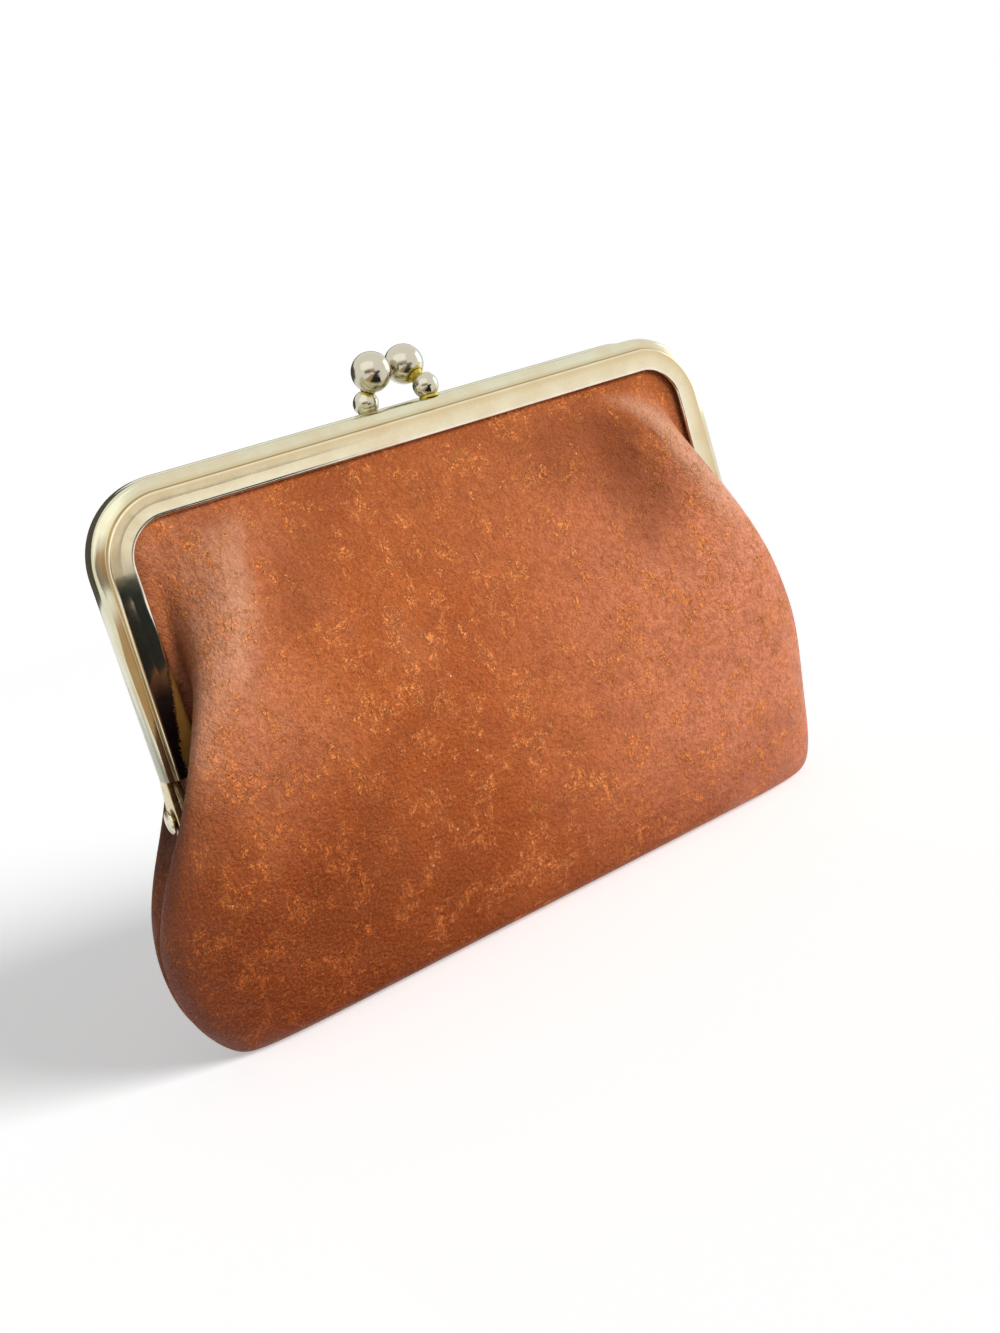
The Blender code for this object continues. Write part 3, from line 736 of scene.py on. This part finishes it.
def skin_sheet(name, side, depth, slack_share, hidden_ends):
    """Loft the skin's middle surface, set inward by a depth, with its own flat place in metres as UVs.

    Without its hidden ends the sheet stops at its edge, and at the sole.
    """
    shape = bmesh.new()
    flat = shape.loops.layers.uv.new("flat")
    grid, places = [], {}
    down = 0
    above = None
    rows = pouch_rows(side)
    for left, right, centre in rows if hidden_ends else rows[:-1]:
        left, right = relaxed(left, slack_share), relaxed(right, slack_share)
        if not hidden_ends:
            left, right = left[1:], right[1:]
        points = [Vector((-x, side * y, z)) for x, y, z in left]
        points += [Vector((x, side * y, z)) for x, y, z in (centre, *right[::-1])]
        middle = len(points) // 2
        down += (points[middle] - above).length if above else 0
        above = points[middle]
        row = [shape.verts.new(point) for point in points]
        places[row[middle]] = (0, -down)
        for outwards in (-1, 1):
            travel = 0
            for step in range(1, middle + 1):
                here, before = middle + outwards * step, middle + outwards * (step - 1)
                travel += (points[here] - points[before]).length
                places[row[here]] = (outwards * travel, -down)
        grid.append(row)
    for upper, lower in zip(grid, grid[1:]):
        for column in range(len(upper) - 1):
            corners = [upper[column], lower[column], lower[column + 1], upper[column + 1]]
            face = shape.faces.new(corners if side < 0 else corners[::-1])
            face.smooth = True
            for loop in face.loops:
                across, along = places[loop.vert]
                loop[flat].uv = (across + (back_hide_shift if side > 0 else 0), along)
    made = meshed(name, shape)
    smooth = made.modifiers.new("smooth", "SUBSURF")
    smooth.levels = skin_levels
    smooth.render_levels = skin_levels
    if depth:
        inset = made.modifiers.new("inset", "DISPLACE")
        inset.strength = -depth
        inset.mid_level = 0
    return as_mesh(name, made)


# The skin is held still up to the first distance, and free from the second on.
free_of_seam = (1.5 * mm, 5 * mm)
free_of_sole = (1.5 * mm, 6 * mm)
free_of_rail = (0.5 * mm, 6 * mm)
free_of_leg = (2 * mm, 7 * mm)
free_over_leg = (7 * mm, 9.5 * mm)
leg_hold = 3 * mm


def freedom(point, side):
    """How far a point of the skin may leave its lofted place: not at all in the frame, seams and sole."""
    forward = side * point.y
    free = smoothly(forward, *free_of_seam) * smoothly(point.z, *free_of_sole)
    if point.z > leg_foot - leg_hold:
        free *= smoothly(lip_height - point.z, *free_of_rail)
        free *= max(smoothly(lip_out - abs(point.x), *free_of_leg), smoothly(forward, *free_over_leg))
    return free


undulation = 0.12 * mm
undulation_mm = 17
ripple_mm = 8
ripple_share = 0.5
crease_depth = 0.06 * mm
crease_mm = 2.1
crease_lean = 0.35
crease_stretch = 0.33
crease_sharpness = 2.4
creased_area_mm = 11
creased_range = (-0.05, 0.45)


def rumple(piece, side):
    """Move the skin along its normals: slow undulations, and short creases in some areas."""
    mesh = piece.data
    shift = Vector((0, side * 0.2, 0))
    normals = [vertex.normal.copy() for vertex in mesh.vertices]
    for vertex, normal in zip(mesh.vertices, normals):
        free = freedom(vertex.co, side)
        if free == 0:
            continue
        place = vertex.co / mm + shift
        slow = noise.noise(place / undulation_mm)
        slow += ripple_share * noise.noise(place / ripple_mm + shift * 90)
        stretched = Vector((place.x + crease_lean * place.z, place.y, place.z * crease_stretch))
        crease = max(1 - abs(noise.noise(stretched / crease_mm)) * crease_sharpness, 0) ** 2
        creased = noise.noise(place / creased_area_mm + Vector((3, 7, 1)))
        crease *= smoothly(creased, *creased_range)
        vertex.co += normal * free * (undulation * slow - crease_depth * crease)


fold_passes = 6
fold_height = 0.25 * mm


def mark_folds(piece):
    """Store how far each point stands out of its surroundings, from 0 in a valley to 1 on a crest."""
    mesh = piece.data
    shape = bmesh.new()
    shape.from_mesh(mesh)
    nearby = [[edge.other_vert(vertex).index for edge in vertex.link_edges] for vertex in shape.verts]
    level = [vertex.co.copy() for vertex in shape.verts]
    for _ in range(fold_passes):
        level = [sum((level[index] for index in indices), Vector()) / len(indices) for indices in nearby]
    height = [(vertex.co - level[vertex.index]).dot(vertex.normal) / fold_height for vertex in shape.verts]
    shape.free()
    fold = mesh.attributes.new("fold", "FLOAT", "POINT")
    fold.data.foreach_set("value", [min(max(0.5 + value / 2, 0), 1) for value in height])


def waxed_cowhide():
    """Full-grain cowhide, drum dyed tan, filled with oil and wax, and carried for years.

    Where it flexes the wax pulls up to orange in small crazed clusters and in chains along old creases.
    Smoky patches, mottle, dust and pores lie between, the top is darker, and a few specks have lost their
    dye. Painted sheen pales the right side and the upper left flank, and painted highlights pale the crests;
    painted shade darkens the fold valleys, the bottom, the lower left corner and the hollows beside the
    legs.
    """
    material, tree, shader = new_material("waxed_cowhide")
    flat = add_node(tree, "ShaderNodeUVMap", uv_map="flat")
    place = add_node(tree, "ShaderNodeMapping", {"Vector": flat, "Scale": (1 / mm,) * 3})
    fold = add_node(tree, "ShaderNodeAttribute", attribute_name="fold", output="Fac")
    object_place = add_node(tree, "ShaderNodeTexCoord", output="Object")
    axes = add_node(tree, "ShaderNodeSeparateXYZ", (object_place,), output=None)

    def patches(size_mm, detail, offset=0.0, distortion=0.0, roughness=0.55, stretch=(1, 1), lean=0.0):
        """Soft blotches about a size apart. The offset takes each use to its own part of the pattern."""
        moved = add_node(tree, "ShaderNodeMapping", {
            "Vector": place, "Location": (offset, offset * 0.7, 0), "Scale": (*stretch, 1),
            "Rotation": (0, 0, lean)})
        return add_node(tree, "ShaderNodeTexNoise", {
            "Vector": moved, "Scale": 1 / size_mm, "Detail": detail, "Roughness": roughness,
            "Distortion": distortion})

    def above(source, start, full):
        """0 where a pattern is below start, 1 where it is above full. Start above full turns it round."""
        stops = ((start, black), (full, white)) if start < full else ((full, white), (start, black))
        return add_node(tree, "ShaderNodeValToRGB", (source,), stops)

    def lines(source, width):
        """Thin bright lines where a noise crosses its middle value."""
        gap = add_node(tree, "ShaderNodeMath", (source, 0.5), operation="SUBTRACT")
        gap = add_node(tree, "ShaderNodeMath", (gap,), operation="ABSOLUTE")
        return add_node(tree, "ShaderNodeMapRange", (gap, width, 0.0))

    def faded(mask, share):
        """A mask weakened by a share, or by another mask."""
        return add_node(tree, "ShaderNodeMath", (mask, share), operation="MULTIPLY")

    def either(first, second):
        """The stronger of two masks."""
        return add_node(tree, "ShaderNodeMath", (first, second), operation="MAXIMUM")

    def spread(axis, start_mm, end_mm):
        """0 at one height or place across the purse, in mm, to 1 at another, with a wandering border."""
        moved = add_node(tree, "ShaderNodeMath", (wander, wander_span, axes[axis]), operation="MULTIPLY_ADD")
        return add_node(tree, "ShaderNodeMapRange", (moved, start_mm * mm, end_mm * mm),
                        interpolation_type="SMOOTHSTEP")

    # Dye: random tone, darker towards the top, painted sheen paling the right side and the upper left flank,
    # painted shade towards the bottom and in the lower left corner; then the smoke, mottle, dust and pores
    # in all of them.
    wander = add_node(tree, "ShaderNodeMath", (patches(14, 3, 60), 0.5), operation="SUBTRACT")
    wander_span = 22 * mm
    # Painted shade: the lower left corner darker, in the dye and in the orange pull-up.
    shaded_low_corner = faded(spread("Z", 42, 14), spread("X", 4, -36))
    dye = painted(
        tree, "#A44E18",
        (above(patches(22, 4), 0.36, 0.64), 1, "#B86027"),
        # Darker towards the top.
        (spread("Z", 42, 72), 0.50, "#90502A"),
        # Painted sheen: paler towards the right, below the top.
        (faded(spread("X", -14, 40), spread("Z", 70, 42)), 0.80, "#DA8A66"),
        # Painted sheen: paler on the left flank, above mid height.
        (faded(spread("X", -18, -40), spread("Z", 24, 38)), 0.40, "#DE9A74"),
        # Painted shade: darker towards the bottom.
        (spread("Z", 20, 3), 0.40, "#8A3C0E"),
        # Painted shade in the lower left corner.
        (shaded_low_corner, 0.88, "#702B04"),
        (above(patches(4.5, 5, 11, roughness=0.62), 0.46, 0.70), 0.40, "#87482A"),
        (above(patches(1.1, 5, 17, roughness=0.72), 0.44, 0.58), 0.42, "#8C3C10"),
        (above(patches(0.36, 3, 91, roughness=0.7), 0.50, 0.60), 0.20, "#DE8E58"),
        (above(patches(0.30, 3, 37, roughness=0.7), 0.50, 0.42), 0.34, "#7A3412"))

    # Pull-up: clusters, flecks and chains of short crazed strokes, with dark cracks between them.
    areas = ((0.38, (0.2, 0.2, 0.2, 1)), (0.52, white))
    areas = add_node(tree, "ShaderNodeValToRGB", (patches(11, 3, 77),), areas)
    clusters = faded(above(patches(3.0, 8, 23, 0.3, 0.76), 0.575, 0.600), areas)
    flecks = faded(above(patches(1.2, 6, 53, 0.3, 0.7), 0.615, 0.645), 0.8)
    columns = lines(patches(11, 5, 63, 0.15, 0.7, (1.7, 0.4)), 0.050)
    rows = lines(patches(7, 5, 33, 0.15, 0.7, (0.5, 1.6)), 0.040)
    broken = above(patches(5, 3, 29), 0.50, 0.56)
    broken = faded(broken, above(patches(1.3, 5, 68, roughness=0.7), 0.44, 0.50))
    chains = faded(either(columns, rows), broken)
    zone = either(clusters, either(chains, flecks))
    grains = above(patches(0.24, 2, 5, 0.3, 0.6, (1, 0.7)), 0.47, 0.58)
    grains = either(grains, lines(patches(0.42, 3, 41, 0.8, 0.65, (0.75, 1), 0.6), 0.06))
    cracks = faded(lines(patches(0.8, 3, 71, 0.8, 0.6, (1, 0.6)), 0.035), zone)
    strength = add_node(tree, "ShaderNodeMath", (grains, 0.90, 0.36), operation="MULTIPLY_ADD")
    pull = add_node(tree, "ShaderNodeMath", (zone, strength), operation="MULTIPLY", use_clamp=True)
    # The orange pull-up is darker in the lower left corner too: painted shade.
    orange = painted(tree, "#FF9650", (shaded_low_corner, 1, "#CE6A2A"))

    # Form: fine ribs in places, painted shade in the fold valleys, painted highlights on the crests, painted
    # shade in the hollows beside the legs, and chips in the dye.
    rib_mm = 0.30
    rib_place = add_node(tree, "ShaderNodeMapping", {"Vector": place, "Rotation": (0, 0, 1.35)})
    ribs = add_node(tree, "ShaderNodeTexWave", {
        "Vector": rib_place, "Scale": math.pi / 10 / rib_mm, "Distortion": 5.0, "Detail": 3,
        "Detail Scale": 0.5}, wave_type="BANDS", bands_direction="X", output="Fac")
    ribs = faded(ribs, above(patches(9, 2, 47), 0.40, 0.60))
    crest = faded(above(fold, 0.53, 0.80), spread("Z", 34, 50))
    sideways, forward = (add_node(tree, "ShaderNodeMath", (axes[axis],), operation="ABSOLUTE")
                         for axis in "XY")
    flank = add_node(tree, "ShaderNodeMapRange", (sideways, 40 * mm, 45 * mm))
    sunken = add_node(tree, "ShaderNodeMapRange", (forward, 9.0 * mm, 6.2 * mm))
    chips = add_node(tree, "ShaderNodeTexVoronoi", {"Vector": place, "Scale": 1 / 5, "Randomness": 1.0})
    shade = painted(
        tree, dye,
        (pull, 1, orange),
        (cracks, 0.80, "#5E2408"),
        (ribs, 0.16, "#6B2F0F"),
        # Painted shade: the fold valleys darker.
        (above(fold, 0.45, 0.14), 0.85, "#6C2D0A"),
        # Painted highlight: the crests of the folds paler.
        (crest, 0.36, "#E6B492"),
        # Painted shade: the hollows beside the legs darker.
        (faded(faded(flank, sunken), spread("Z", 22, 34)), 0.85, "#451B08"),
        (above(chips, 0.030, 0.020), 0.8, "#E8C8A8"))

    rough = add_node(tree, "ShaderNodeMapRange", (patches(4, 4, 31), 0.3, 0.7, 0.38, 0.54))
    rough = add_node(tree, "ShaderNodeMath", (crest, -0.18, rough), operation="MULTIPLY_ADD")
    rough = add_node(tree, "ShaderNodeMath", (pull, 0.12, rough), operation="MULTIPLY_ADD")
    pebbles = add_node(tree, "ShaderNodeTexVoronoi", {
        "Vector": place, "Scale": 1 / 0.42}, feature="SMOOTH_F1")
    wrinkles = faded(patches(0.55, 3, 83, 0.3, 0.6, (1, 1.8), 0.5), crest)
    relief = 0.0
    for layer, height in (
            (pebbles, -0.6), (patches(0.22, 2, 3, roughness=0.6), 0.6),
            (patches(1.1, 4, 19, roughness=0.6), 1.3), (wrinkles, 0.6), (ribs, 0.18), (pull, 0.5),
            (cracks, -0.8)):
        relief = add_node(tree, "ShaderNodeMath", (layer, height, relief), operation="MULTIPLY_ADD")
    bump = add_node(tree, "ShaderNodeBump", {"Height": relief, "Strength": 1.0, "Distance": 0.24 * mm})
    feed(tree, shader, {"Base Color": shade, "Roughness": rough, "Specular IOR Level": 0.28, "Normal": bump})
    return material


def flesh_side():
    """The hide's raw back and cut edge: pale, matt and fibrous where it was skived."""
    material, tree, shader = new_material("raw_flesh_side")
    fibres = add_node(tree, "ShaderNodeTexNoise", {
        "Vector": millimetres(tree), "Scale": 3, "Detail": 5, "Distortion": 1})
    shade = painted(tree, "#7A4B2E", (fibres, 1, "#A8764E"))
    bump = add_node(tree, "ShaderNodeBump", {"Height": fibres, "Strength": 0.6, "Distance": 0.2 * mm})
    feed(tree, shader, {"Base Color": shade, "Roughness": 0.85, "Normal": bump})
    return material


cowhide = waxed_cowhide()
flesh = flesh_side()
for title, side in sides.items():
    hide = skin_sheet(f"{title}_hide", side, 0, 0, hidden_ends=True)
    rumple(hide, side)
    mark_folds(hide)
    hide.data.materials.append(cowhide)
    hide.data.materials.append(flesh)
    wall = walled(hide, leather, 0)
    wall.material_offset = 1
    wall.material_offset_rim = 1
    hide = as_mesh(hide.name, hide)
    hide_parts(f"{title}_panel")
    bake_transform(hide)

# Linings. A thin twill is glued behind each hide and wedged in the frame with it. It hangs a little slacker
# than the leather, so it doesn't follow the side folds all the way.
lining_depth = leather / 2 + lining_gap + lining / 2


def lining_twill():
    """Cotton twill, piece dyed brown: fine diagonal ribs 0.45 mm apart, matt, with a faint fuzz."""
    material, tree, shader = new_material("brown_cotton_twill")
    rib_mm = 0.45
    thread_mm = rib_mm / 1.4
    flat = add_node(tree, "ShaderNodeUVMap", uv_map="flat")
    place = add_node(tree, "ShaderNodeMapping", {
        "Vector": flat, "Scale": (1 / mm,) * 3, "Rotation": (0, 0, 1.05)})
    ribs = add_node(tree, "ShaderNodeTexWave", {
        "Vector": place, "Scale": 1 / math.pi / rib_mm, "Distortion": 0.6, "Detail": 2},
        wave_type="BANDS", bands_direction="X", output="Fac")
    threads = add_node(tree, "ShaderNodeTexWave", {
        "Vector": place, "Scale": 1 / math.pi / thread_mm, "Distortion": 1.0, "Detail": 2},
        wave_type="BANDS", bands_direction="Y", output="Fac")
    weave = add_node(tree, "ShaderNodeMath", (threads, 0.3), operation="MULTIPLY")
    weave = add_node(tree, "ShaderNodeMath", (ribs, 0.7, weave), operation="MULTIPLY_ADD")
    stain = add_node(tree, "ShaderNodeTexNoise", {"Vector": place, "Scale": 1 / 9, "Detail": 4})
    shade = painted(tree, "#5C432E", (weave, 1, "#86684A"), (stain, 0.35, "#4A3524"))
    bump = add_node(tree, "ShaderNodeBump", {"Height": weave, "Strength": 0.6, "Distance": 0.12 * mm})
    feed(tree, shader, {"Base Color": shade, "Roughness": 0.85, "Sheen Weight": 0.25, "Normal": bump})
    return material


twill = lining_twill()
for title, side in sides.items():
    cloth = skin_sheet(f"{title}_lining_cloth", side, lining_depth, lining_slack_share, hidden_ends=False)
    cloth.data.materials.append(twill)
    walled(cloth, lining, 0)
    cloth = as_mesh(cloth.name, cloth)
    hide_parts(f"{title}_lining")
    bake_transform(cloth)

# Filler cords. A twisted kraft-paper cord lies in each channel behind the lining and wedges leather and
# cloth against the front wall. It is three strands laid together, and follows the U.
cord_foot_rise = 4 * mm
cord_twist = 3.2 * mm
cord_step = 0.4 * mm
cord_play = 0.3 * mm
strand_count = 3
strand_share = 0.48
strand_facets = 8
lining_face = slot_depth - leather / 2 - lining_gap - lining
wall_face = closing_gap + sheet
cord_radius = (lining_face - wall_face) / 2 - cord_play


def laid_cord_tree():
    """Sweep a round of strands along a path, turned evenly so that they lie as a laid cord."""
    tree, given = growing_tree("laid_cord", {
        "Strands": "Int", "Radius": "Float", "Twist Length": "Float", "Step": "Float"})
    path = add_node(tree, "GeometryNodeResampleCurve", {
        "Curve": given["Path"], "Length": given["Step"]}, mode="LENGTH")
    length = add_node(tree, "GeometryNodeSplineParameter", output="Length")
    turns = add_node(tree, "ShaderNodeMath", (length, given["Twist Length"]), operation="DIVIDE")
    tilt = add_node(tree, "ShaderNodeMath", (turns, 2 * math.pi), operation="MULTIPLY")
    path = add_node(tree, "GeometryNodeSetCurveTilt", {"Curve": path, "Tilt": tilt})
    ring_radius = add_node(tree, "ShaderNodeMath", (given["Radius"], 1 - strand_share), operation="MULTIPLY")
    strand_radius = add_node(tree, "ShaderNodeMath", (given["Radius"], strand_share), operation="MULTIPLY")
    ring = add_node(tree, "GeometryNodeCurvePrimitiveCircle", {
        "Resolution": given["Strands"], "Radius": ring_radius})
    strand = add_node(tree, "GeometryNodeCurvePrimitiveCircle", {
        "Resolution": strand_facets, "Radius": strand_radius})
    strands = add_node(tree, "GeometryNodeInstanceOnPoints", {"Points": ring, "Instance": strand})
    profile = add_node(tree, "GeometryNodeRealizeInstances", {"Geometry": strands})
    mesh = add_node(tree, "GeometryNodeCurveToMesh", {
        "Curve": path, "Profile Curve": profile, "Fill Caps": True})
    return grown(tree, mesh, given["Finish"])


def kraft_paper():
    """Brown kraft paper, wound tight: matt, with long fibres and darker turns."""
    material, tree, shader = new_material("twisted_kraft_paper")
    fibres = add_node(tree, "ShaderNodeTexNoise", {
        "Vector": millimetres(tree), "Scale": 2.5, "Detail": 5, "Distortion": 2})
    shade = painted(tree, "#8A6B45", (fibres, 1, "#C4A474"))
    bump = add_node(tree, "ShaderNodeBump", {"Height": fibres, "Strength": 0.5, "Distance": 0.1 * mm})
    feed(tree, shader, {"Base Color": shade, "Roughness": 0.9, "Normal": bump})
    return material


paper = kraft_paper()
laying = laid_cord_tree()
for title, side in sides.items():
    depth = side * (lining_face + wall_face) / 2
    points = [(x, depth, z) for x, z in u_path(side, edge_inset + cord_radius, leg_foot + cord_foot_rise)]
    cord = grow(f"{title}_paper_cord", poly_curve(f"{title}_cord_path", points), laying,
                {"Strands": strand_count, "Radius": cord_radius, "Twist Length": cord_twist,
                 "Step": cord_step, "Finish": paper})
    tidy_mesh(cord, smooth_angle=1.2)
    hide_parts(f"{title}_filler_cord")
    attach(cord, f"{title}_half")

# Floor and light. A white table with a soft shadow, window light from the front right and an even pale room.
# Dark, warm and bright panels stand round the purse, where only polish and sheen see them.
floor_size = 40
floor_drop = 0.02 * mm
mat_height = 0.4 * mm
middle_of_purse = Vector((0, 0, 40 * mm))
towards_window = Vector((0.55, -0.75, 0.38))
window_strength = 3.8
window_spread = math.radians(30)


def seen_directly(tree):
    """1 where the camera, polish or glass looks at a surface, and 0 where only its light arrives."""
    path = add_node(tree, "ShaderNodeLightPath", output=None)
    seen = add_node(tree, "ShaderNodeMath", (path["Is Camera Ray"], path["Is Glossy Ray"]), operation="ADD")
    through = path["Is Transmission Ray"]
    return add_node(tree, "ShaderNodeMath", (seen, through), operation="ADD", use_clamp=True)


def pale_floor():
    """Matt white laminate, which the camera and bright metal see a little lighter than it is lit."""
    material, tree, shader = new_material("white_table")
    feed(tree, shader, {"Base Color": "#F7F7F7", "Roughness": 0.9, "Specular IOR Level": 0.1})
    glow = add_node(tree, "ShaderNodeEmission", {"Color": white, "Strength": 0.37})
    lifted = add_node(tree, "ShaderNodeAddShader", (shader.outputs[0], glow))
    mixed = add_node(tree, "ShaderNodeMixShader", (seen_directly(tree), shader.outputs[0], lifted))
    feed(tree, tree.nodes["Material Output"], {"Surface": mixed})
    return material


def flat_plane(name, width, depth, place, turn, material):
    """A flat piece of the room about the purse. It isn't part of the object."""
    shape = bmesh.new()
    bmesh.ops.create_grid(shape, x_segments=1, y_segments=1, size=0.5)
    bmesh.ops.scale(shape, vec=(width, depth, 1), verts=shape.verts)
    bmesh.ops.transform(shape, matrix=Matrix.Translation(place) @ turn.to_4x4(), verts=shape.verts)
    made = meshed(name, shape)
    made.data.materials.append(material)
    return made


flat_plane("table", floor_size, floor_size, (0, 0, -floor_drop), Matrix.Identity(3), pale_floor())


def reflected(name, tint, strength, width, depth, place, lying=False):
    """A dark or bright panel of the room that only polish and sheen see."""
    material, tree, shader = new_material(name)
    tree.nodes.remove(shader)
    glow = add_node(tree, "ShaderNodeEmission", {"Color": tint, "Strength": strength})
    feed(tree, tree.nodes["Material Output"], {"Surface": glow})
    face = (middle_of_purse - Vector(place)).to_track_quat("Z", "Y").to_matrix()
    panel = flat_plane(name, width, depth, place, Matrix.Identity(3) if lying else face, material)
    panel.visible_camera = False
    panel.visible_diffuse = False
    panel.visible_shadow = False


reflected("dark_panel", "#1C1E22", 1.0, 0.05, 0.24, (-0.31, -0.39, -0.01))
reflected("warm_panel", "#C09A74", 1.0, 0.19, 0.30, (-0.15, -0.50, 0.04))
reflected("low_dark_panel", "#222930", 1.0, 0.15, 0.075, (0.02, -0.24, 0.018))
reflected("dark_mat", "#262A2E", 1.0, 0.090, 0.235, (-0.013, -0.1215, mat_height), lying=True)
reflected("warm_mat", "#BFA07C", 1.0, 0.08, 0.235, (-0.098, -0.1215, mat_height), lying=True)
reflected("window_glass", "#FFFFFF", 1.35, 0.90, 0.50, (-0.34, -0.36, 0.50))
reflected("grey_room", "#8F8A84", 1.0, 0.95, 0.45, (-0.62, -0.80, 0.08))
reflected("bright_wall", "#FFFFFF", 2.4, 0.45, 0.60, (0.72, -0.06, 0.10))
reflected("sky_behind", "#CFE8FF", 1.1, 0.35, 0.25, (0.56, 0.40, 0.16))
reflected("room_behind", "#524F46", 1.0, 1.60, 0.60, (-0.05, 0.80, 0.22))

window = bpy.data.lights.new("window", "SUN")
window.energy = window_strength
window.angle = window_spread
sun = placed("window", window)
sun.rotation_euler = (-towards_window).to_track_quat("-Z", "Y").to_euler()
sun.visible_glossy = False

world = bpy.data.worlds.new("pale_room")
world.use_nodes = True
bpy.context.scene.world = world
tree = world.node_tree
strength = add_node(tree, "ShaderNodeMapRange", (seen_directly(tree), 0.0, 1.0, 0.22, 1.0))
feed(tree, tree.nodes["Background"], {"Color": white, "Strength": strength})
bpy.context.scene.view_settings.view_transform = "Standard"
